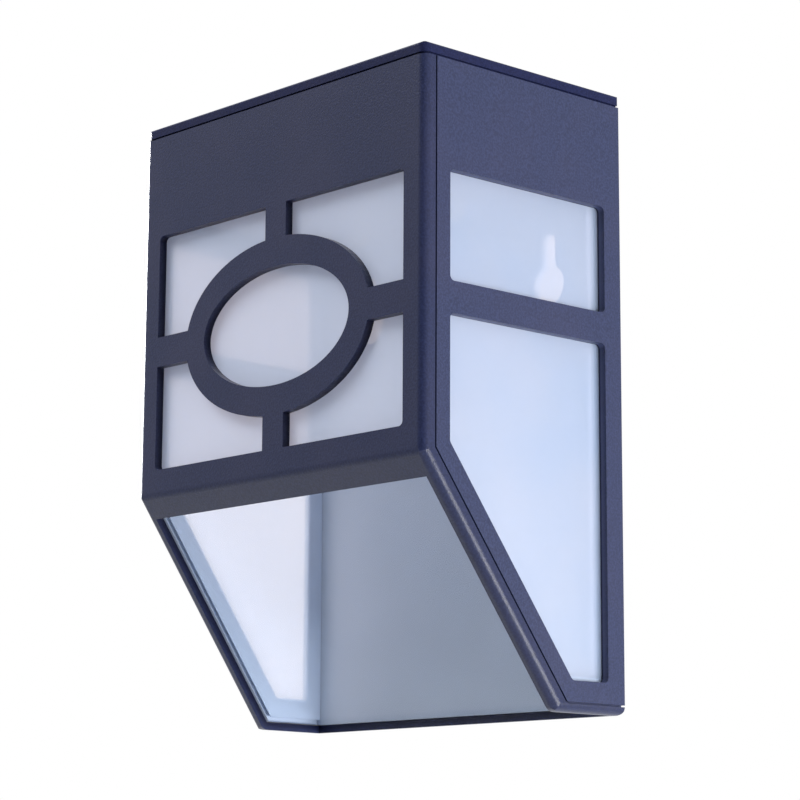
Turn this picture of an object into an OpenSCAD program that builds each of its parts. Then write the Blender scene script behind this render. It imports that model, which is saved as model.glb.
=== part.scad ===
// Solar wall light: a window-framed lantern box that hangs flat on a wall.
// Drawn with the front face at y = 0, the wall at y = depth and the flat bottom at z = 0,
// then set down with its origin on the wall, midway between the two keyholes.

/* [Body] */
// Width across the front face
front_w = 95; // [88:0.5:104]
// Width at the wall
back_w = 100; // [92:0.5:110]
// Depth from the front face to the wall
depth = 59; // [54:0.5:70]
// Height from the flat bottom to the top of the lid
height = 140; // [132:1:170]
// Height of the ridge where the front turns into the slope
ridge_h = 51.5; // [46:0.5:58]
// Depth of the flat bottom in front of the wall
bottom_d = 20.5; // [16:0.5:26]
// Rounding of the outer edges
edge_r = 2; // [0.6:0.1:2.4]
// Rounding along the ridge
ridge_r = 3; // [2:0.5:8]
// Rounding where the slope meets the flat bottom
bend_r = 2.5; // [1:0.5:5]

/* [Walls] */
// Thickness of the front and sloping plates
front_t = 2; // [1.6:0.1:3]
// Thickness of the bottom border
bottom_t = 1.8; // [1.4:0.1:2.6]
// How far the front frame wraps round onto the sides
return_w = 3.3; // [2.6:0.1:4.5]
// Thickness of that wrapped edge
return_t = 1; // [0.8:0.1:1.2]
// Thickness of the side panels
side_t = 2; // [1.8:0.1:3]
// Thickness of the back plate
back_t = 2; // [1.6:0.1:3]
// Thickness of the milky diffuser
diffuser_t = 1.2; // [0.8:0.1:2]
// Clearance between parts that slide into each other
fit_gap = 0.1; // [0.05:0.01:0.2]
// Visible joint between the front frame and the side panels
seam_gap = 0.4; // [0.1:0.05:0.6]

/* [Windows] */
// Height of the plain band between the lid and the windows
band_h = 24.2; // [23:0.1:32]
// Width of the rails beside the front window
front_rail = 6.2; // [4:0.1:9]
// Height of the sill between the ridge and the front window
sill_h = 6; // [4:0.1:9]
// Width of the upright bar
bar_w = 6.9; // [4:0.1:10]
// Height of the crossbars
cross_w = 7; // [4:0.1:10]
// Width of the oval ring
ring_w = 61.6; // [54:0.2:70]
// Height of the oval ring
ring_h = 40.2; // [34:0.2:46]
// Width of the opening in the ring
eye_w = 48.8; // [40:0.2:52]
// Height of the opening in the ring
eye_h = 27; // [22:0.2:32]
// Front rail of the side windows, measured from the front face
side_rail = 7.5; // [6:0.1:10]
// Rear rail of the side windows
rear_rail = 5; // [4:0.1:8]
// Rail under the side windows
foot_rail = 6.8; // [5:0.1:9]
// Rail between the slope and the side windows
slant_rail = 7.7; // [6:0.1:10]
// Rails beside the sloping window
slope_rail = 2.8; // [2.4:0.1:5]
// Rail between the ridge and the sloping window
brow_rail = 5.9; // [4:0.1:9]
// Bar that closes the bottom window at the wall
rear_bar = 2; // [1.6:0.1:3]
// Corner radius of the windows
window_r = 1.2; // [0.6:0.1:2]

/* [Lid] */
// Thickness of the lid's edge
lid_t = 2.7; // [2.4:0.1:4]
// How far the lid stands back from the body
lid_in = 0.15; // [0.1:0.05:0.8]
// Corner radius of the lid
lid_r = 2; // [1:0.1:4]
// Rounding of the lid's upper edges
lid_edge_r = 0.5; // [0.3:0.1:0.8]
// Height of the joint line between the lid and the body
joint_h = 0.5; // [0.2:0.1:0.8]
// Depth of that joint line
joint_d = 0.5; // [0.2:0.1:0.8]
// Depth of the locating skirt under the lid
skirt_h = 3; // [2:0.1:4]
// Width of the solar panel
panel_w = 77.6; // [60:0.2:82]
// Depth of the solar panel, front to back
panel_d = 41.6; // [34:0.2:45]
// Depth of the solar panel's pocket
pocket_h = 1.8; // [1.7:0.1:2]
// Number of solar cells in the row
cell_count = 4; // [2:1:8]

/* [Inside] */
// Height of the room for battery and circuit board
bay_h = 16.3; // [16:0.1:18]
// Thickness of the tray that carries them
tray_t = 1.6; // [1.2:0.1:2.4]
// Diameter of the rechargeable cell
cell_d = 10.5; // [9.5:0.1:10.8]
// Length of the rechargeable cell
cell_l = 44.5; // [40:0.5:46]
// Thickness of the cradle's walls
cradle_t = 1.2; // [1:0.1:1.8]
// Height of the cradle's walls
cradle_h = 8; // [6:0.1:9]
// Circuit board width
board_w = 46; // [42:0.5:50]
// Circuit board depth
board_d = 19; // [18:0.5:20]
// Circuit board thickness
board_t = 1.6; // [1:0.1:2]
// Height of the posts under the circuit board
post_h = 3; // [2.5:0.1:3.5]
// Diameter of the two lamps
led_d = 5; // [4:0.1:5.2]
// Spacing of the two lamps
led_gap = 32; // [26:0.5:34]
// Travel of the switch slider
travel = 2; // [1.5:0.1:2.5]

/* [Wall fixing] */
// Spacing of the keyholes
keyhole_gap = 60; // [50:1:66]
// Diameter of the keyholes' round entries
keyhole_d = 9.4; // [8:0.1:10]
// Width of the keyholes' slots
slot_w = 4.3; // [3.6:0.1:5]
// Rise from an entry's centre to where the screw seats
slot_rise = 10; // [8:0.5:12]
// Height of the entries' centres above the bottom
keyhole_h = 99; // [94:0.5:102]

/* [Hidden] */
$fn = 64;

plastic = [0.24, 0.26, 0.34];
side_plastic = [0.3, 0.32, 0.42];
milky = [0.85, 0.9, 0.97];
white = [0.93, 0.93, 0.94];
steel = [0.75, 0.76, 0.78];

// The tapering sides, the slope and the levels that the rest is measured from
flare = (back_w - front_w) / 2 / depth;
side_out = [1, -flare, 0] / norm([1, flare]);
run = depth - bottom_d;
slope_l = norm([run, ridge_h]);
slope_out = [0, -ridge_h, -run] / slope_l;
slope_down = [0, run, -ridge_h] / slope_l;
seat_h = height - lid_t;
window_top = seat_h - band_h;
window_low = ridge_h + sill_h;
cross_h = (window_top + window_low) / 2;
back_in = depth - back_t;
past = 10;
oval_sides = 96;

// Lid, pocket and screw lugs
lid_back_r = 0.3;
skirt_t = 1.4;
skirt_gap = 0.25;
pocket_gap = 0.2;
pocket_floor = 1.2;
pocket_y = depth / 2;
lug_t = 2;
lug_w = 7;
lug_top = seat_h - 4.2;
back_boss_l = 10;
lug_gap = 1.5;
lug_x = front_w / 2 - 6.5;
lug_front = front_t + lug_w / 2 + 4;
lug_rear = back_in - back_boss_l - lug_w / 2 - lug_gap;
boss_d = 5;
lid_screw_r = 0.95;
lid_screw_l = lug_t + 3;
pilot_gap = 0.05;
hole_gap = 0.2;
head_gap = 0.3;

// Tray level and what stands on it
tray_top = seat_h - bay_h;
ledge_t = 1.5;
ledge_w = 2.2;
diffuser_top = tray_top - tray_t - ledge_t - 1;
board_y = back_in - 2.5 - board_d;
board_low = tray_top + post_h;
board_top = board_low + board_t;
post_x = board_w / 2 - 4;
post_y = board_y + board_d - 4;
led_y = board_y + 5;
lead_d = 0.5;
lead_gap = 1.27;
cradle_gap = 0.35;
cradle_l = cell_l + 4.5;
cradle_y = front_t + 14;
cell_h = tray_top + cradle_t + fit_gap + cell_d / 2;
tab_t = 0.4;
tab_w = 8;
tab_h = cradle_h + 1.5;
nub_l = 0.9;
nub_d = 3.8;
wire_r = 0.6;
wire_arch = 2;
solder_x = 3;
solder_y = board_y + 2;

// Chip and coil, side by side on the circuit board
row_y = led_y + 2;
chip_x = 7.5;
chip_w = 5;
chip_d = 4;
chip_h = 1.4;
leg_pitch = 1.27;
leg_w = 0.4;
leg_l = 1.5;
leg_t = 0.3;
coil_d = 6;
coil_h = 5;
flange_t = 1;

// Switch, with its lever passing through the back plate
switch_w = 8.6;
switch_h = 3.6;
switch_d = 3.8;
switch_y = board_y + board_d - switch_d;
switch_z = board_top + switch_h / 2;
base_w = 4;
base_h = 1.6;
base_d = 1.4;
lever = 1.6;
play = 0.2;
cover_t = 0.6;
nail_depth = 1.2;
lever_end = depth - 0.7;

// Catch that holds the back plate's lower edge
lip_t = 0.8;
lip_h = 1.2;
lip_gap = 0.15;
plate_gap = 0.2;
back_screw_h = seat_h - 9;
back_screw_x = front_w / 2 - 5;
back_boss_d = 6;
back_screw_r = 1.2;
back_screw_l = 8;
back_head_r = 2.3;
back_head_h = 1.1;

function unit(v) = v / norm(v);
function side_x(y, inset) = front_w / 2 + flare * y - inset / side_out.x;

// Side view of the body, moved inwards by inset, with its own level for the bottom
function profile(inset, low, top, back) = [
    [inset, top],
    [inset, ridge_h + (inset * slope_l - inset * ridge_h) / run],
    [(inset * slope_l + run * (ridge_h - low)) / ridge_h, low],
    [back, low],
    [back, top]];

// Top view of the body, moved inwards by inset from the sides
function plan(inset, front, back) = [
    [-side_x(front, inset), front], [side_x(front, inset), front],
    [side_x(back, inset), back], [-side_x(back, inset), back]];

module placed() translate([0, -depth, -keyhole_h]) children();

module along_x(x0, x1) translate([x0, 0, 0]) rotate([90, 0, 90]) linear_extrude(x1 - x0) children();

module across() along_x(-back_w, back_w) children();

module along_y(y0, y1) translate([0, y1, 0]) rotate([90, 0, 0]) linear_extrude(y1 - y0) children();

module along_z(z0, z1) translate([0, 0, z0]) linear_extrude(z1 - z0) children();

module both_sides() {
    children();
    mirror([1, 0, 0]) children();
}

// What a round corner of radius r takes away at p, between the directions a and b of its two sides
module corner_waste(p, a, b, r) {
    half = acos(a * b) / 2;
    centre = p + unit(a + b) * r / sin(half);
    difference() {
        polygon([p - unit(a + b) * 0.05, p + a * r / tan(half), centre, p + b * r / tan(half)]);
        translate(centre) circle(r);
    }
}

// A convex outline with a radius for each corner
module rounded(points, radii) {
    count = len(points);
    difference() {
        polygon(points);
        for (i = [0 : count - 1])
            corner_waste(points[i], unit(points[(i + count - 1) % count] - points[i]),
                unit(points[(i + 1) % count] - points[i]), radii[i]);
    }
}

// What rounding takes off the edge from p to q between two faces with outward normals m and n
module edge_waste(p, q, m, n, r) {
    along = unit(q - p);
    a = unit((m * n) * m - n);
    b = unit((m * n) * n - m);
    c = cross(along, a);
    multmatrix([
        [a.x, c.x, along.x, p.x], [a.y, c.y, along.y, p.y], [a.z, c.z, along.z, p.z], [0, 0, 0, 1]])
        translate([0, 0, -0.2])
            linear_extrude(norm(q - p) + 0.4)
                corner_waste([0, 0], [1, 0], [b * a, b * c], r);
}

// An ellipse, drawn with many short sides
module oval(w, h) polygon([for (i = [0 : oval_sides - 1])
    let (turn = 360 * i / oval_sides) [w / 2 * cos(turn), h / 2 * sin(turn)]]);

// The outside of the body up to a level, with its edges rounded
module outside(top) {
    ridge = [side_x(0, 0), 0, ridge_h];
    bend = [side_x(run, 0), run, 0];
    difference() {
        intersection() {
            across() polygon(profile(0, 0, top, depth));
            along_z(-1, top + 1) polygon(plan(0, -past, depth + past));
        }
        both_sides() {
            edge_waste(ridge, [ridge.x, 0, top + 1], [0, -1, 0], side_out, edge_r);
            edge_waste(ridge, bend, slope_out, side_out, edge_r);
            edge_waste(bend, [side_x(depth, 0), depth, 0], [0, 0, -1], side_out, edge_r);
        }
        edge_waste([-back_w, 0, ridge_h], [back_w, 0, ridge_h], [0, -1, 0], slope_out, ridge_r);
        edge_waste([-back_w, run, 0], [back_w, run, 0], slope_out, [0, 0, -1], bend_r);
        edge_waste([-back_w, depth, 0], [back_w, depth, 0], [0, 0, -1], [0, 1, 0], bottom_t * 0.6);
    }
}

// The four panes and the eye of the front, seen from the front
module front_openings() {
    wide = front_w / 2 - front_rail;
    difference() {
        rounded([[-wide, window_low], [wide, window_low], [wide, window_top], [-wide, window_top]],
            [for (i = [0 : 3]) window_r]);
        translate([0, cross_h]) {
            oval(ring_w, ring_h);
            square([bar_w, window_top - window_low + 1], center = true);
            square([2 * wide + 1, cross_w], center = true);
        }
    }
    translate([0, cross_h]) oval(eye_w, eye_h);
}

// The sloping window and its turn under the bottom
module slope_opening() {
    brow = [0, 0, ridge_h] + slope_down * brow_rail;
    inner = front_t + 1;
    out = brow + slope_out * 3;
    inn = brow - slope_out * inner;
    intersection() {
        across() polygon([
            [out.y, out.z], [inn.y, inn.z],
            [(inner * slope_l + run * (ridge_h - inner)) / ridge_h, inner],
            [depth - rear_bar, inner], [depth - rear_bar, -3], [out.y, -3]]);
        along_z(-past, height) polygon(plan(slope_rail, -past, depth + past));
    }
}

module front_frame() color(plastic) placed() {
    difference() {
        intersection() {
            outside(seat_h);
            across() difference() {
                polygon(profile(0, -1, seat_h, depth + 1));
                polygon(profile(return_w, bottom_t, seat_h + 1, depth + 1));
            }
        }
        intersection() {
            across() polygon(profile(front_t, bottom_t, seat_h + 1, depth + 1));
            along_z(-1, seat_h + 1) polygon(plan(return_t, -past, depth + past));
        }
        along_y(-1, front_t + 1) front_openings();
        slope_opening();
    }
    catch_x = side_x(depth - lip_t, side_t + plate_gap);
    translate([-catch_x, depth - lip_t, bottom_t - 0.5]) cube([2 * catch_x, lip_t, lip_h + 0.5]);
}

// A slab that follows the right side between two insets
module side_slab(outer, inner)
    along_z(-1, height) polygon([
        [side_x(-past, inner), -past], [side_x(-past, outer), -past],
        [side_x(depth, outer), depth], [side_x(depth, inner), depth]]);

// Upper and lower windows of a side, in side view
module side_openings() {
    front = side_rail;
    back = depth - rear_rail;
    radii = [for (i = [0 : 4]) window_r];
    slant_y = (slant_rail * slope_l + run * (ridge_h - foot_rail)) / ridge_h;
    slant_z = ridge_h + (slant_rail * slope_l - ridge_h * front) / run;
    rounded([[front, cross_h + cross_w / 2], [back, cross_h + cross_w / 2], [back, window_top],
        [front, window_top]], radii);
    rounded([[front, slant_z], [slant_y, foot_rail], [back, foot_rail], [back, cross_h - cross_w / 2],
        [front, cross_h - cross_w / 2]], radii);
}

module side_panel() color(side_plastic) difference() {
    union() {
        intersection() {
            across() polygon(profile(return_w + seam_gap, bottom_t + seam_gap, seat_h, depth));
            side_slab(0, side_t);
        }
        intersection() {
            across() polygon(profile(front_t + fit_gap, bottom_t + fit_gap, seat_h, depth));
            side_slab(return_t + fit_gap, side_t);
        }
        intersection() {
            across() translate([front_t + 1, tray_top - tray_t - ledge_t])
                square([back_in - front_t - 2, ledge_t]);
            side_slab(side_t - 0.5, side_t + ledge_w);
        }
        for (y = [lug_front, lug_rear])
            intersection() {
                translate([lug_x - boss_d / 2, y - lug_w / 2, lug_top - lug_t]) cube([20, lug_w, lug_t]);
                side_slab(side_t - 0.5, side_t + 20);
            }
        intersection() {
            union() {
                translate([back_screw_x, back_in, back_screw_h]) rotate([90, 0, 0])
                    cylinder(d = back_boss_d, h = back_boss_l);
                translate([back_screw_x, back_in - back_boss_l, back_screw_h - 1])
                    cube([20, back_boss_l, 2]);
            }
            side_slab(side_t - 0.5, side_t + 20);
        }
    }
    along_x(0, back_w) side_openings();
    for (y = [lug_front, lug_rear])
        translate([lug_x, y, lug_top - lug_t - 1]) cylinder(r = lid_screw_r + hole_gap, h = lug_t + 2);
    translate([back_screw_x, back_in + 1, back_screw_h]) rotate([90, 0, 0])
        cylinder(r = back_screw_r + pilot_gap, h = back_boss_l);
}

module side_panel_right() placed() side_panel();

module side_panel_left() placed() mirror([1, 0, 0]) side_panel();

module diffuser() color(milky) placed() {
    out = fit_gap;
    inn = fit_gap + diffuser_t;
    difference() {
        intersection() {
            across() polygon(profile(front_t + out, bottom_t + out, diffuser_top, back_in - out));
            along_z(-1, height) polygon(plan(side_t + out, -past, depth));
        }
        intersection() {
            across() polygon(profile(front_t + inn, bottom_t + inn, height, depth + 1));
            along_z(-1, height + 1) polygon(plan(side_t + inn, -past, depth + past));
        }
    }
}

module keyhole() {
    circle(d = keyhole_d);
    translate([0, slot_rise]) circle(d = slot_w);
    translate([-slot_w / 2, 0]) square([slot_w, slot_rise]);
}

module back_plate() color(white) placed() difference() {
    half = side_x(back_in, side_t + plate_gap);
    low = bottom_t + fit_gap;
    translate([-half, back_in, low]) cube([2 * half, back_t, seat_h - fit_gap - low]);
    translate([-back_w, depth - lip_t - lip_gap, low - 1])
        cube([2 * back_w, back_t, bottom_t + lip_h + lip_gap - low + 1]);
    along_y(back_in - 1, depth + 1) {
        for (s = [-1, 1])
            translate([s * keyhole_gap / 2, keyhole_h]) keyhole();
        translate([0, switch_z]) square([lever + travel + 4 * play, lever + 4 * play], center = true);
    }
    translate([0, depth - nail_depth, switch_z]) rotate([-90, 0, 0]) {
        for (s = [-1, 1])
            translate([s * 2, 0, 0]) cylinder(r = 3.4, h = nail_depth + 1);
        translate([-2, -3.4, 0]) cube([4, 6.8, nail_depth + 1]);
    }
    both_sides() translate([back_screw_x, 0, back_screw_h]) rotate([-90, 0, 0]) {
        translate([0, 0, back_in - 1]) cylinder(r = back_screw_r + hole_gap, h = back_t + 2);
        translate([0, 0, depth - back_head_h - 0.1]) cylinder(r = back_head_r + head_gap, h = 2);
    }
}

// The lid's plate from a level up to its top, with its sides and front moved in
module lid_plate(inset, low) {
    edge = lid_in + inset;
    front_r = lid_r - inset;
    along_z(low, height) rounded(plan(edge, edge, depth), [front_r, front_r, lid_back_r, lid_back_r]);
}

module top_cap() color(plastic) placed() difference() {
    floor_h = height - pocket_h - pocket_floor;
    side = side_t + skirt_gap;
    union() {
        lid_plate(0, seat_h + joint_h);
        lid_plate(joint_d, seat_h);
        difference() {
            along_z(seat_h - skirt_h, seat_h + 0.5)
                polygon(plan(side, front_t + skirt_gap, back_in - skirt_gap));
            along_z(seat_h - skirt_h - 1, seat_h)
                polygon(plan(side + skirt_t, front_t + skirt_gap + skirt_t, back_in - skirt_gap - skirt_t));
        }
        translate([-panel_w / 2 - 2, pocket_y - panel_d / 2 - 2, floor_h])
            cube([panel_w + 4, panel_d + 4, pocket_floor]);
        both_sides() for (y = [lug_front, lug_rear])
            translate([lug_x, y, lug_top]) cylinder(d = boss_d, h = seat_h - lug_top + 0.5);
    }
    edge_waste([-back_w, lid_in, height], [back_w, lid_in, height], [0, -1, 0], [0, 0, 1], lid_edge_r);
    both_sides() edge_waste([side_x(0, lid_in), 0, height], [side_x(depth, lid_in), depth, height],
        side_out, [0, 0, 1], lid_edge_r);
    translate([-panel_w / 2 - pocket_gap, pocket_y - panel_d / 2 - pocket_gap, height - pocket_h])
        cube([panel_w + 2 * pocket_gap, panel_d + 2 * pocket_gap, pocket_h + 1]);
    translate([0, pocket_y, floor_h - 1]) cylinder(r = 1.8, h = pocket_floor + 2);
    both_sides() for (y = [lug_front, lug_rear])
        translate([lug_x, y, lug_top - 1]) cylinder(r = lid_screw_r + pilot_gap, h = floor_h - lug_top + 0.6);
}

module solar_board() color([0.1, 0.2, 0.16]) placed()
    translate([-panel_w / 2, pocket_y - panel_d / 2, height - pocket_h]) cube([panel_w, panel_d, 0.8]);

module solar_cells() color([0.07, 0.1, 0.24]) placed() {
    border = 1.8;
    gap = 0.8;
    wide = (panel_w - 2 * border + gap) / cell_count;
    for (i = [0 : cell_count - 1])
        translate([-panel_w / 2 + border + i * wide, pocket_y - panel_d / 2 + border, height - pocket_h + 0.8])
            cube([wide - gap, panel_d - 2 * border, 0.2]);
}

module solar_cover() color([0.5, 0.6, 0.7, 0.5]) placed()
    translate([-panel_w / 2, pocket_y - panel_d / 2, height - pocket_h + 1])
        cube([panel_w, panel_d, pocket_h - 1.2]);

module led_tray() color(white) placed() difference() {
    union() {
        along_z(tray_top - tray_t, tray_top)
            polygon(plan(side_t + 3 * fit_gap, front_t + 3 * fit_gap, back_in - 2 * fit_gap));
        for (s = [-1, 1])
            translate([s * post_x, post_y, tray_top - 0.5]) cylinder(d = 5, h = post_h + 0.5);
    }
    for (s = [-1, 1]) {
        translate([s * led_gap / 2, led_y, tray_top - tray_t - 1]) cylinder(d = led_d + 0.2, h = tray_t + 2);
        translate([s * post_x, post_y, tray_top]) cylinder(r = 0.85, h = post_h + 1);
    }
}

module circuit_board() color([0.1, 0.4, 0.2]) placed() difference() {
    translate([-board_w / 2, board_y, board_low]) cube([board_w, board_d, board_t]);
    for (s = [-1, 1]) {
        translate([s * post_x, post_y, board_low - 1]) cylinder(r = 1, h = board_t + 2);
        for (t = [-1, 1])
            translate([s * led_gap / 2 + t * lead_gap, led_y, board_low - 1])
                cylinder(r = lead_d / 2 + 0.15, h = board_t + 2);
    }
}

module led(x) color([0.97, 0.97, 0.9]) placed() translate([x, led_y, tray_top]) {
    cylinder(d = led_d + 0.8, h = 1);
    translate([0, 0, led_d / 2 - 7.6]) cylinder(d = led_d, h = 7.6 - led_d / 2 + 0.5);
    translate([0, 0, led_d / 2 - 7.6]) sphere(d = led_d);
    for (t = [-1, 1])
        translate([t * lead_gap, 0, 0.5]) cylinder(d = lead_d, h = post_h + board_t + 0.3);
}

module led_left() led(-led_gap / 2);

module led_right() led(led_gap / 2);

module controller_chip() color([0.12, 0.12, 0.13]) placed() translate([-chip_x, row_y, board_top]) {
    translate([-chip_w / 2, -chip_d / 2, leg_t / 2]) cube([chip_w, chip_d, chip_h]);
    for (i = [0 : 3])
        for (s = [0, 1])
            mirror([0, s, 0]) translate([(i - 1.5) * leg_pitch - leg_w / 2, chip_d / 2 - 0.5, 0])
                cube([leg_w, leg_l, leg_t]);
}

module inductor() color([0.2, 0.45, 0.3]) placed() translate([chip_x, row_y, board_top]) {
    cylinder(d = coil_d, h = flange_t);
    cylinder(d = coil_d - 1.6, h = coil_h);
    translate([0, 0, coil_h - flange_t]) cylinder(d = coil_d, h = flange_t);
}

module switch_body() color([0.7, 0.71, 0.73]) placed() difference() {
    room = base_w + travel + 2 * play;
    translate([-switch_w / 2, switch_y, board_top]) cube([switch_w, switch_d, switch_h]);
    translate([-room / 2, switch_y + switch_d - cover_t - base_d - 2 * play, switch_z - base_h / 2 - play])
        cube([room, base_d + 2 * play, base_h + 2 * play]);
    translate([-(lever + travel) / 2 - play, switch_y + 1.5, switch_z - lever / 2 - play / 2])
        cube([lever + travel + 2 * play, switch_d, lever + play]);
}

module switch_slider() color([0.15, 0.15, 0.16]) placed() translate([-travel / 2, 0, switch_z]) {
    base_y = switch_y + switch_d - cover_t - base_d - play;
    translate([-base_w / 2, base_y, -base_h / 2]) cube([base_w, base_d, base_h]);
    translate([-lever / 2, base_y, -lever / 2]) cube([lever, lever_end - base_y, lever]);
}

module battery_cradle() color([0.2, 0.2, 0.22]) placed() difference() {
    wide = cell_d + 2 * cradle_gap;
    outer_l = cradle_l + 2 * cradle_t;
    translate([-outer_l / 2, cradle_y - wide / 2 - cradle_t, tray_top])
        cube([outer_l, wide + 2 * cradle_t, cradle_h]);
    translate([-cradle_l / 2, cradle_y - wide / 2, tray_top + cradle_t]) cube([cradle_l, wide, cradle_h]);
    translate([-9, cradle_y - wide, tray_top + cradle_t + 3]) cube([18, 2 * wide, cradle_h]);
}

module battery_cell() color([0.3, 0.55, 0.35]) placed()
    translate([cradle_l / 2 - tab_t - fit_gap - cell_l, cradle_y, cell_h]) rotate([0, 90, 0]) {
        cylinder(d = cell_d, h = cell_l - nub_l);
        cylinder(d = nub_d, h = cell_l);
    }

// A contact tab against an end wall of the cradle
module tab(x) translate([x, cradle_y - tab_w / 2, tray_top + cradle_t]) cube([tab_t, tab_w, tab_h - cradle_t]);

module battery_contact() color(steel) placed() tab(cradle_l / 2 - tab_t);

// Round tube swept along a path, with its rings carried along without twist
function heading(path, i) = unit(path[min(i + 1, len(path) - 1)] - path[max(i - 1, 0)]);
function carried(path, i, last) =
    i == len(path) ? [] :
    let (t = heading(path, i), n = unit(last - (last * t) * t))
    concat([n], carried(path, i + 1, n));

module tube(path, r, sides) {
    start = heading(path, 0);
    normals = carried(path, 0, abs(start.x) < 0.8 ? [1, 0, 0] : [0, 1, 0]);
    last = len(path) - 1;
    points = [for (i = [0 : last]) for (k = [0 : sides - 1])
        path[i] + r * (cos(360 * k / sides) * normals[i]
            + sin(360 * k / sides) * cross(heading(path, i), normals[i]))];
    walls = [for (i = [0 : last - 1]) for (k = [0 : sides - 1])
        let (a = i * sides + k, b = i * sides + (k + 1) % sides)
        each [[a, a + sides, b + sides], [a, b + sides, b]]];
    polyhedron(points, concat([[for (k = [0 : sides - 1]) k]], walls,
        [[for (k = [sides - 1 : -1 : 0]) last * sides + k]]));
}

module battery_spring() color(steel) placed() {
    turns = 4;
    steps = 12;
    reach = cradle_l - cell_l - 2 * tab_t - fit_gap - 0.1;
    tab(-cradle_l / 2);
    tube([for (i = [0 : turns * steps])
        let (f = i / (turns * steps), r = 3.6 - 1.2 * f, w = 360 * i / steps)
        [-cradle_l / 2 + tab_t + 0.2 + (reach - 0.5) * f, cradle_y + r * cos(w), cell_h + r * sin(w)]], 0.3, 6);
}

// A bend of points through three corners, for the wires
function arc3(a, b, c, count) = [for (i = [0 : count]) let (f = i / count)
    (1 - f) * (1 - f) * a + 2 * f * (1 - f) * b + f * f * c];

// A wire that leaves start along way, bends over the middle point and drops onto its foot
module wire(start, way, middle, foot) {
    up = [0, 0, 0.8];
    out = start + way;
    tube(concat([start], arc3(out, [out.x, out.y, middle.z + way.z * 1.5], middle, 6),
        [for (p = arc3(middle, [foot.x, foot.y, middle.z], foot + up, 7)) if (p != middle) p], [foot]), wire_r, 8);
}

module panel_wire(side) placed()
    wire([side * (wire_r + 0.2), pocket_y, height - pocket_h - 0.05], [0, 0, -0.8],
        [side * (solder_x - 1), (pocket_y + solder_y) / 2, (board_top + height - pocket_h) / 2],
        [side * solder_x, solder_y, board_top + 0.05]);

module panel_wire_red() color([0.75, 0.1, 0.1]) panel_wire(-1);

module panel_wire_black() color([0.1, 0.1, 0.1]) panel_wire(1);

module battery_wire(side) placed()
    wire([side * (cradle_l / 2 - tab_t / 2), cradle_y + 3, tray_top + tab_h + 0.05], [0, 0, 0.8],
        [side * board_w / 2, (cradle_y + board_y) / 2, tray_top + tab_h + wire_arch],
        [side * (board_w / 2 - solder_x), solder_y, board_top + 0.05]);

module battery_wire_red() color([0.75, 0.1, 0.1]) battery_wire(1);

module battery_wire_black() color([0.1, 0.1, 0.1]) battery_wire(-1);

// A pan-head screw whose head's underside is at the origin and whose shank points up
module screw(r, l, head_r, head_h) {
    cylinder(r = r, h = l);
    difference() {
        translate([0, 0, -head_h]) cylinder(r = head_r, h = head_h);
        for (turn = [0, 90])
            rotate([0, 0, turn]) translate([-head_r * 0.6, -0.25, -head_h - 1]) cube([head_r * 1.2, 0.5, 1.6]);
    }
}

module lid_screws() color(steel) placed()
    both_sides() for (y = [lug_front, lug_rear])
        translate([lug_x, y, lug_top - lug_t]) screw(lid_screw_r, lid_screw_l, 2 * lid_screw_r, 1.2);

module back_screws() color(steel) placed()
    both_sides() translate([back_screw_x, depth - back_head_h - 0.1, back_screw_h]) rotate([90, 0, 0])
        screw(back_screw_r, back_screw_l, back_head_r, back_head_h);

module board_screws() color(steel) placed()
    both_sides() translate([post_x, post_y, board_top]) rotate([180, 0, 0]) screw(0.8, board_t + 2, 1.6, 1);

front_frame();
side_panel_left();
side_panel_right();
diffuser();
back_plate();
top_cap();
solar_board();
solar_cells();
solar_cover();
led_tray();
circuit_board();
led_left();
led_right();
controller_chip();
inductor();
switch_body();
switch_slider();
battery_cradle();
battery_cell();
battery_spring();
battery_contact();
panel_wire_red();
panel_wire_black();
battery_wire_red();
battery_wire_black();
lid_screws();
back_screws();
board_screws();
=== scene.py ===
import bpy
from mathutils import Matrix, Vector


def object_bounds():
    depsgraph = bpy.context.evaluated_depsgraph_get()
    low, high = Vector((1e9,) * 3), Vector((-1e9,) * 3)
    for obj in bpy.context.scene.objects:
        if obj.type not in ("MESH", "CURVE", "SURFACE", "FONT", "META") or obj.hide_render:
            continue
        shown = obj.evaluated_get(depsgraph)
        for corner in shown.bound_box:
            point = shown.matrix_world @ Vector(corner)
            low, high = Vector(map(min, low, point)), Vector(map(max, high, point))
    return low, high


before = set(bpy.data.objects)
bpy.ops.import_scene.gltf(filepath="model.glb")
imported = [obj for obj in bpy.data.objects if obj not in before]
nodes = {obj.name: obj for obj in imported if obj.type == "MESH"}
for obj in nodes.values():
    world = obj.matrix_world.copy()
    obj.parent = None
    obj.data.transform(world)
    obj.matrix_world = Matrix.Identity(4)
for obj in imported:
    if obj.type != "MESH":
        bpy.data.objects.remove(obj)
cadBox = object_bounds()
middle = (cadBox[0] + cadBox[1]) / 2
print("frame loaded:", len(nodes), "nodes")


def srgb(red, green, blue):  # a colour as a screen shows it, 0 to 255
    return tuple(c / 12.92 if c <= 0.04045 else ((c + 0.055) / 1.055) ** 2.4
                 for c in (red / 255, green / 255, blue / 255)) + (1.0,)


def shaded(colour, factor):
    return tuple(c * factor for c in colour[:3]) + (1.0,)


# Camera at the photograph's place: low in front of the right corner, looking up
lens = {
    "length": 114.96, "sensor": 36, "near": 0.01, "far": 20, "place": (0.41898, -0.42055, -0.13641),
    "forward": (-0.7101, 0.6784, 0.1884), "up": (0.1326, -0.1340, 0.9821),
}


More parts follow.
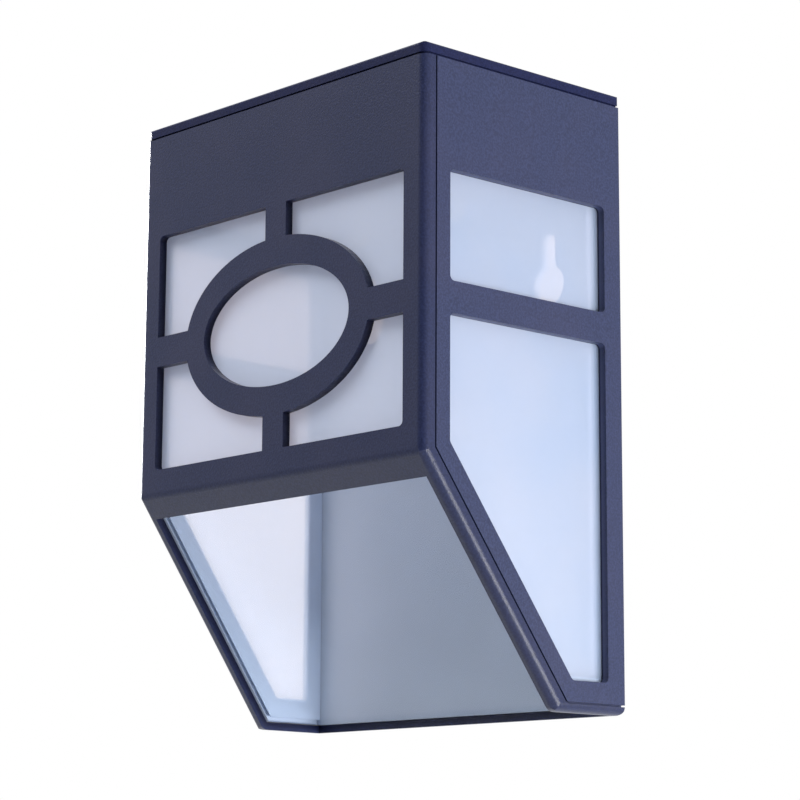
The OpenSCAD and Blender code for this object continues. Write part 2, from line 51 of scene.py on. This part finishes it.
def setCamera():
    data = bpy.data.cameras.new("camera")
    data.lens = lens["length"]
    data.sensor_width = lens["sensor"]
    data.clip_start = lens["near"]
    data.clip_end = lens["far"]
    camera = bpy.data.objects.new("camera", data)
    bpy.context.scene.collection.objects.link(camera)
    forward = Vector(lens["forward"]).normalized()
    right = forward.cross(Vector(lens["up"])).normalized()
    turn = Matrix((right, right.cross(forward), -forward)).transposed().to_4x4()
    turn.translation = lens["place"]
    camera.matrix_world = turn
    bpy.context.scene.camera = camera


setCamera()
print("camera set")


class Wire:  # a node's output, written like a number in sums
    def __init__(self, finish, socket):
        self.finish = finish
        self.socket = socket

    def math(self, operation, *others):
        return self.finish.node("Math", {"operation": operation}, dict(enumerate((self, *others))))

    def __add__(self, other):
        return self.math("ADD", other)

    def __sub__(self, other):
        return self.math("SUBTRACT", other)

    def __rsub__(self, other):
        return self.finish.node("Math", {"operation": "SUBTRACT"}, {0: other, 1: self})

    def __mul__(self, other):
        return self.math("MULTIPLY", other)

    __radd__ = __add__
    __rmul__ = __mul__

    def clamped(self):
        return self.finish.node("Clamp", {}, {0: self})


class Finish:  # the nodes of one material, or of the world
    def __init__(self, owner):
        owner.use_nodes = True
        self.owner = owner
        self.tree = owner.node_tree
        self.tree.nodes.clear()

    def node(self, kind, settings=None, sockets=None, output=0):
        made = self.tree.nodes.new("ShaderNode" + kind)
        for key, value in (settings or {}).items():
            setattr(made, key, value)
        for key, value in (sockets or {}).items():
            if isinstance(value, Wire):
                self.tree.links.new(value.socket, made.inputs[key])
            else:
                made.inputs[key].default_value = value
        return Wire(self, made.outputs[output]) if made.outputs else None

    def rays(self, *kinds):
        return sum(self.node("LightPath", output=kind) for kind in kinds).clamped()

    def looking(self):  # what the camera sees, straight, in a mirror or through a clear part
        return self.rays("Is Camera Ray", "Is Glossy Ray", "Is Transmission Ray")

    def place(self):
        return self.node("TexCoord", output="Object")

    def axis(self, name):  # X, Y or Z in the piece, in metres
        return self.node("SeparateXYZ", {}, {0: self.place()}, name)

    def noise(self, size, detail=2.0, stretch=None):
        where = self.place()
        if stretch:
            where = self.node("Mapping", {}, {"Vector": where, "Scale": stretch})
        return self.node("TexNoise", {}, {"Vector": where, "Scale": 1 / size, "Detail": detail}, "Fac")

    def band(self, value, low, high):  # 0 at low and 1 at high, soft between them
        return self.node("MapRange", {"interpolation_type": "SMOOTHSTEP"}, {0: value, 1: low, 2: high})

    def mix(self, factor, first, second):
        return self.node("Mix", {"data_type": "RGBA"}, {0: factor, 6: first, 7: second}, 2)

    def bump(self, height, depth, strength):
        return self.node("Bump", {}, {"Height": height, "Distance": depth, "Strength": strength})

    def clear(self, tint):
        return self.node("BsdfTransparent", {}, {"Color": tint})

    def blend(self, factor, first, second):
        return self.node("MixShader", {}, {0: factor, 1: first, 2: second})

    def show(self, shader):
        self.node("OutputMaterial", {}, {"Surface": shader})
        return self.owner

    def principled(self, sockets):
        return self.show(self.node("BsdfPrincipled", {}, sockets))


def newPaint(name):
    return Finish(bpy.data.materials.new(name))


# World: white where the camera, a mirror or a clear part looks, calm light elsewhere.
# Lit surfaces and mirrors find it dim low in front.
studio = {
    "above": 0.86, "below": 0.32, "tint": (0.94, 0.97, 1.0, 1.0), "white": (1.0, 1.0, 1.0, 1.0),
    "dim": (0.2, -0.91, -0.35), "dimFrom": (0.4, 0.8), "dimShare": 0.92,
}


def setWorld():
    world = bpy.data.worlds.new("studio")
    bpy.context.scene.world = world
    sky = Finish(world)
    seen = sky.looking()
    way = sky.node("TexCoord", output="Generated")
    height = sky.node("SeparateXYZ", {}, {0: way}, "Z")
    calm = sky.band(height, -1.0, 1.0) * (studio["above"] - studio["below"]) + studio["below"]
    facing = sky.node("VectorMath", {"operation": "DOT_PRODUCT"}, {0: way, 1: studio["dim"]}, "Value")
    spared = sky.rays("Is Camera Ray", "Is Transmission Ray")
    dim = sky.band(facing, *studio["dimFrom"]) * studio["dimShare"] * (1 - spared)
    strength = (seen * (1 - calm) + calm) * (1 - dim)
    light = sky.node("Background", {}, {
        "Color": sky.mix(seen, studio["tint"], studio["white"]), "Strength": strength})
    sky.node("OutputWorld", {}, {"Surface": light})
    bpy.context.scene.view_settings.view_transform = "Standard"


# Round lamps turned to the middle of the case: places and sizes in metres, powers in watts
lamps = {
    "front": {"at": (-0.6, -0.8, 1.1), "size": 0.8, "power": 22.5},
    "rightRear": {"at": (0.8, 0.22, -0.3), "size": 0.45, "power": 8.1},
    "right": {"at": (1.0, -0.03, -0.36), "size": 0.16, "power": 3.8},
    "left": {"at": (-1.15, 0.12, 0.3), "size": 0.36, "power": 14.2},
    "top": {"at": (0.2, 0.0, 1.3), "size": 1.0, "power": 7.0},
}


def setLamps():
    for name, spec in lamps.items():
        data = bpy.data.lights.new(name, "AREA")
        data.shape = "DISK"
        data.size = spec["size"]
        data.energy = spec["power"]
        lamp = bpy.data.objects.new(name, data)
        bpy.context.scene.collection.objects.link(lamp)
        lamp.visible_transmission = False
        lamp.visible_camera = False
        lamp.location = spec["at"]
        lamp.rotation_euler = (middle - Vector(spec["at"])).to_track_quat("-Z", "Y").to_euler()


# A floor well below: pale where it is looked at, darker in the light that it sends up
ground = {
    "height": -0.6, "reach": 3.0, "rough": 0.8,
    "seen": (0.88, 0.88, 0.88, 1.0), "lit": (0.3, 0.31, 0.33, 1.0),
}


def addFloor():
    data = bpy.data.meshes.new("floor")
    reach = ground["reach"]
    data.from_pydata([(-reach, -reach, 0), (reach, -reach, 0), (reach, reach, 0), (-reach, reach, 0)],
                     [], [(0, 1, 2, 3)])
    floor = bpy.data.objects.new("floor", data)
    floor.location.z = ground["height"]
    bpy.context.scene.collection.objects.link(floor)
    paint = newPaint("floor")
    colour = paint.mix(paint.looking(), ground["lit"], ground["seen"])
    data.materials.append(paint.principled({"Base Color": colour, "Roughness": ground["rough"]}))


setWorld()
setLamps()
addFloor()
print("studio set:", len(lamps), "lamps")

# What the frame's box doesn't give of the case: how far each side leans in over the depth, how high the
# ridge is above the bottom, and how deep the flat bottom is
case = {"taper": 0.0025, "ridgeHeight": 0.0515, "bottomDepth": 0.0205}


def depthsBelowSkin(paint):
    low, high = cadBox
    depth = high.y - low.y
    x, y, z = (paint.axis(name) for name in "XYZ")
    toFront = y - low.y
    toSide = toFront * (case["taper"] / depth) + (high.x - case["taper"]) - x.math("ABSOLUTE")
    out = Vector((0, -case["ridgeHeight"], case["bottomDepth"] - depth)).normalized()
    toSlope = (low.y - y) * out.y + (low.z + case["ridgeHeight"] - z) * out.z
    return toFront, toSide, toSlope, z - low.z


# Dark moulded plastic with a spark grain. Round the windows and joints its colour follows the depth below
# the skin: painted shade in the recesses, darkest at their inner ends, and painted light in the side panels'
# ones.
housing = {
    # The wall colours are painted shade in the front's and lid's recesses and painted light in the side
    # panels'
    "front": {"body": srgb(33, 39, 68), "wall": srgb(13, 17, 42), "shine": 0.22},
    # The side panels' body is a lighter copy of the front's: painted light for the stronger light from the
    # right
    "side": {"body": srgb(44, 50, 78), "wall": srgb(68, 74, 108), "shine": 0.22},
    "lid": {"body": srgb(26, 31, 62), "wall": srgb(13, 17, 42), "shine": 0.08},
    "recessShadow": srgb(13, 17, 42), "cloud": srgb(62, 59, 80), "cloudShare": 0.14, "rough": 0.32,
    "grain": 0.00045, "grainDetail": 3.0, "grainSpan": (0.32, 0.7), "bump": (0.00006, 1.0),
    "speckDark": 0.8, "speckLight": 1.25, "blotch": 0.02, "blotchSpan": (0.35, 0.7),
    "round": 0.002, "paintedWallFrom": (0.0001, 0.0016), "recessShadowFrom": (0.0014, 0.0018),
}


def mouldedPlastic(name, part):
    paint = newPaint(name)
    grain = paint.noise(housing["grain"], housing["grainDetail"])
    cloud = paint.noise(housing["blotch"])
    dark, light = (shaded(part["body"], housing[kind]) for kind in ("speckDark", "speckLight"))
    speckled = paint.mix(paint.band(grain, *housing["grainSpan"]), dark, light)
    clouded = paint.mix(paint.band(cloud, *housing["blotchSpan"]) * housing["cloudShare"],
                        speckled, housing["cloud"])
    # The rounded edges count as skin, so the depth is measured from their curve
    near = [(housing["round"] - away).math("MAXIMUM", 0.0) for away in depthsBelowSkin(paint)]
    depth = housing["round"] - sum(reach * reach for reach in near).math("SQRT")
    # Painted shade on the recess walls, darker still at their inner ends; the side panels' wall colour is
    # painted light
    wall = paint.mix(paint.band(depth, *housing["recessShadowFrom"]), part["wall"], housing["recessShadow"])
    return paint.principled({
        "Base Color": paint.mix(paint.band(depth, *housing["paintedWallFrom"]), clouded, wall),
        "Roughness": housing["rough"], "Specular IOR Level": part["shine"],
        "Normal": paint.bump(grain, *housing["bump"])})


# Milky inner box: what comes straight through turns warm, what the milk scatters turns blue
milk = {
    "body": srgb(188, 214, 248), "bodyPale": srgb(200, 219, 247), "front": srgb(216, 229, 248),
    # The rim colour is painted shade: an opaque strip along the lowest edges and the back, darkened where the
    # rails behind it block the light
    "shadedRim": srgb(184, 196, 217), "glow": srgb(225, 234, 248),
    "clearWall": (1.0, 0.89, 0.82, 1.0), "clearSheet": (0.94, 0.955, 0.965, 1.0),
    "cloud": 0.03, "cloudSpan": (0.3, 0.7), "rough": 0.05, "ripple": 0.0008, "bump": (0.000003, 0.3),
    # In metres below the case's skin: within a wall, past its outer face, the lowest strip, the back strip
    # with the painted shadow of the rear rail
    "within": (0.0036, 0.0034), "pastOuter": (0.0027, 0.0029), "low": (0.0082, 0.0070),
    "rearRailShadow": (0.0512, 0.0530),
    "share": {"wall": 0.5, "front": 0.64, "sheet": 0.07, "shadedRim": 1.0}, "through": {"wall": 0.5, "shadedRim": 0.0},
}


def milkyPlastic(name):
    paint = newPaint(name)
    toFront, toSide, toSlope, toBottom = depthsBelowSkin(paint)
    toLow = toSlope.math("MINIMUM", toBottom)
    side = paint.band(toSide, *milk["within"])
    sheet = paint.band(toLow, *milk["within"]) * (1 - side)
    front = paint.band(toFront, *milk["within"]) * (1 - side) * (1 - sheet)
    # Painted shade: the lowest strip and the rear rail's painted shadow are opaque milk in the darker rim
    # colour
    rearRailShadow = paint.band(toFront, *milk["rearRailShadow"]) * paint.band(toSide, *milk["pastOuter"])
    shadedRim = paint.band(toLow, *milk["low"]).math("MAXIMUM", rearRailShadow) * side
    share, through = milk["share"], milk["through"]
    cloud = paint.noise(milk["cloud"])
    clouded = paint.mix(paint.band(cloud, *milk["cloudSpan"]), milk["body"], milk["bodyPale"])
    body = paint.node("BsdfPrincipled", {}, {
        "Base Color": paint.mix(shadedRim, paint.mix(front, clouded, milk["front"]), milk["shadedRim"]),
        "Roughness": milk["rough"], "Normal": paint.bump(paint.noise(milk["ripple"]), *milk["bump"])})
    glow = paint.node("BsdfTranslucent", {}, {"Color": milk["glow"]})
    glowing = shadedRim * (through["shadedRim"] - through["wall"]) + through["wall"]
    see = paint.blend(sheet, paint.clear(milk["clearWall"]), paint.clear(milk["clearSheet"]))
    hazy = share["wall"] + sum(mask * (share[kind] - share["wall"])
                               for mask, kind in ((front, "front"), (sheet, "sheet"), (shadedRim, "shadedRim")))
    return paint.show(paint.blend(hazy, see, paint.blend(glowing, body, glow)))


# Satin plastics, the ferrite and the wires' coats: the grain in metres, the bump as its depth and strength
satin = {
    "white": {"colour": srgb(198, 205, 217), "grain": 0.0006, "rough": 0.45, "bump": (0.000004, 0.5)},
    "black": {"colour": srgb(34, 34, 38), "grain": 0.0006, "rough": 0.45, "bump": (0.00002, 0.5)},
    "ferrite": {"colour": srgb(84, 84, 80), "grain": 0.0004, "rough": 0.6, "bump": (0.00002, 0.5)},
    "redWire": {"colour": srgb(176, 34, 30), "grain": 0.001, "rough": 0.4, "bump": (0.00002, 0.5)},
    "blackWire": {"colour": srgb(28, 28, 30), "grain": 0.001, "rough": 0.4, "bump": (0.00002, 0.5)},
    "cloud": 0.015, "cloudSpan": (0.3, 0.7), "cloudShade": 0.97, "grainSpan": (0.2, 0.8), "roughSpan": 0.12,
}


def satinPlastic(name, kind):
    paint = newPaint(name)
    fine = paint.noise(kind["grain"])
    cloud = paint.band(paint.noise(satin["cloud"]), *satin["cloudSpan"])
    return paint.principled({
        "Base Color": paint.mix(cloud, kind["colour"], shaded(kind["colour"], satin["cloudShade"])),
        "Roughness": paint.band(fine, *satin["grainSpan"]) * satin["roughSpan"] + kind["rough"],
        "Normal": paint.bump(fine, *kind["bump"])})


# Solar cells: fine silver fingers from front to back, and two bars from side to side
cells = {
    "blue": srgb(24, 38, 92), "violet": srgb(38, 36, 90), "silver": srgb(190, 194, 204),
    "crystalsPerMetre": 220.0, "finger": 0.0011, "fingerShare": (0.09, 0.13),
    "bar": 0.0095, "barHalf": (0.0008, 0.00065), "metal": 0.6, "rough": 0.28, "coat": 0.5, "coatRough": 0.08,
}


def siliconCell(name):
    paint = newPaint(name)
    alongFinger = (paint.axis("X") * (1 / cells["finger"])).math("FRACT")
    fingers = 1 - paint.band(alongFinger, *cells["fingerShare"])
    fromMiddle = (paint.axis("Y") - middle.y).math("ABSOLUTE")
    bars = paint.band((fromMiddle - cells["bar"]).math("ABSOLUTE"), *cells["barHalf"])
    lines = fingers.math("MAXIMUM", bars)
    crystal = paint.node("TexVoronoi", {}, {
        "Vector": paint.place(), "Scale": cells["crystalsPerMetre"]}, "Color")
    base = paint.mix(paint.node("SeparateColor", {}, {0: crystal}), cells["blue"], cells["violet"])
    return paint.principled({
        "Base Color": paint.mix(lines, base, cells["silver"]), "Metallic": lines * cells["metal"],
        "Roughness": cells["rough"], "Coat Weight": cells["coat"], "Coat Roughness": cells["coatRough"]})


# Clear cover over the cells: mostly see-through, with a faint gloss
resin = {
    "gloss": srgb(196, 206, 226), "clear": (0.95, 0.97, 0.99, 1.0), "share": 0.05, "shareSpan": 0.04,
    "ripple": 0.004, "rough": 0.08, "bump": (0.00002, 0.15),
}


def clearResin(name):
    paint = newPaint(name)
    ripple = paint.noise(resin["ripple"])
    gloss = paint.node("BsdfPrincipled", {}, {
        "Base Color": resin["gloss"], "Roughness": resin["rough"],
        "Normal": paint.bump(ripple, *resin["bump"])})
    share = ripple * resin["shareSpan"] + resin["share"]
    return paint.show(paint.blend(share, paint.clear(resin["clear"]), gloss))


# Green lacquer with paler traces
board = {
    "dark": srgb(16, 92, 52), "light": srgb(28, 112, 62), "trace": srgb(60, 150, 92), "cloud": 0.004,
    "tracesPerMetre": 260.0, "traceWidth": 0.018, "rough": 0.3, "bump": (0.00003, 0.5),
}


def circuitLacquer(name):
    paint = newPaint(name)
    traces = paint.node("TexBrick", {}, {
        "Vector": paint.place(), "Scale": board["tracesPerMetre"], "Mortar Size": board["traceWidth"]}, "Fac")
    base = paint.mix(paint.noise(board["cloud"]), board["dark"], board["light"])
    return paint.principled({
        "Base Color": paint.mix(traces, base, board["trace"]), "Roughness": board["rough"],
        "Normal": paint.bump(traces, *board["bump"])})


# The two lamps point down: warm at the tip, cooler from the collar up
ledLens = {
    "tip": srgb(252, 250, 226), "collar": srgb(244, 246, 240), "collarFrom": (0.0145, 0.018),
    "rough": 0.08, "ior": 1.5, "clear": 0.55,
}


def lampEpoxy(name):
    paint = newPaint(name)
    collar = paint.band(paint.axis("Z"), *ledLens["collarFrom"])
    return paint.principled({
        "Base Color": paint.mix(collar, ledLens["tip"], ledLens["collar"]), "Roughness": ledLens["rough"],
        "IOR": ledLens["ior"], "Transmission Weight": ledLens["clear"]})


# Plated steel, brushed along Z
steel = {
    "dark": srgb(188, 190, 196), "light": srgb(216, 217, 220), "brush": 0.0004, "brushDetail": 3.0,
    "stretch": (1.0, 1.0, 0.1), "rough": 0.25, "roughSpan": 0.2, "bump": (0.00001, 0.3),
}


def platedSteel(name):
    paint = newPaint(name)
    brush = paint.noise(steel["brush"], steel["brushDetail"], steel["stretch"])
    return paint.principled({
        "Base Color": paint.mix(brush, steel["dark"], steel["light"]), "Metallic": 1.0,
        "Roughness": brush * steel["roughSpan"] + steel["rough"],
        "Normal": paint.bump(brush, *steel["bump"])})


# The cell's green sleeve, with a pale end on the left
sleeve = {
    "green": srgb(52, 128, 82), "greenLight": srgb(66, 146, 94), "end": srgb(222, 226, 222),
    "endTo": (-0.0125, -0.0122), "cloud": 0.003, "rough": 0.3, "coat": 0.4, "bump": (0.00003, 0.2),
}


def cellSleeve(name):
    paint = newPaint(name)
    cloud = paint.noise(sleeve["cloud"])
    green = paint.mix(cloud, sleeve["green"], sleeve["greenLight"])
    return paint.principled({
        "Base Color": paint.mix(paint.band(paint.axis("X"), *sleeve["endTo"]), sleeve["end"], green),
        "Roughness": sleeve["rough"], "Coat Weight": sleeve["coat"],
        "Normal": paint.bump(cloud, *sleeve["bump"])})


# Each finish, and the pieces that have it
dressed = (
    (mouldedPlastic("housing", housing["front"]), ("front_frame",)),
    (mouldedPlastic("housing_side_painted_light", housing["side"]), ("side_panel_left", "side_panel_right")),
    (mouldedPlastic("housing_lid", housing["lid"]), ("top_cap",)),
    (milkyPlastic("diffuser"), ("diffuser",)),
    (satinPlastic("white_plastic", satin["white"]), ("back_plate", "led_tray")),
    (siliconCell("solar_cell"), ("solar_cells",)),
    (clearResin("clear_resin"), ("solar_cover",)),
    (circuitLacquer("circuit"), ("circuit_board",)),
    (lampEpoxy("led_lens"), ("led_left", "led_right")),
    (satinPlastic("black_plastic", satin["black"]),
     ("solar_board", "controller_chip", "switch_slider", "battery_cradle")),
    (satinPlastic("ferrite", satin["ferrite"]), ("inductor",)),
    (platedSteel("steel"),
     ("switch_body", "battery_spring", "battery_contact", "lid_screws", "back_screws", "board_screws")),
    (cellSleeve("cell_sleeve"), ("battery_cell",)),
    (satinPlastic("wire_red", satin["redWire"]), ("panel_wire_red", "battery_wire_red")),
    (satinPlastic("wire_black", satin["blackWire"]), ("panel_wire_black", "battery_wire_black")),
)
for finish, names in dressed:
    for name in names:
        for slot in nodes[name].material_slots:
            slot.material = finish
print("finishes laid on", sum(len(names) for finish, names in dressed), "nodes")
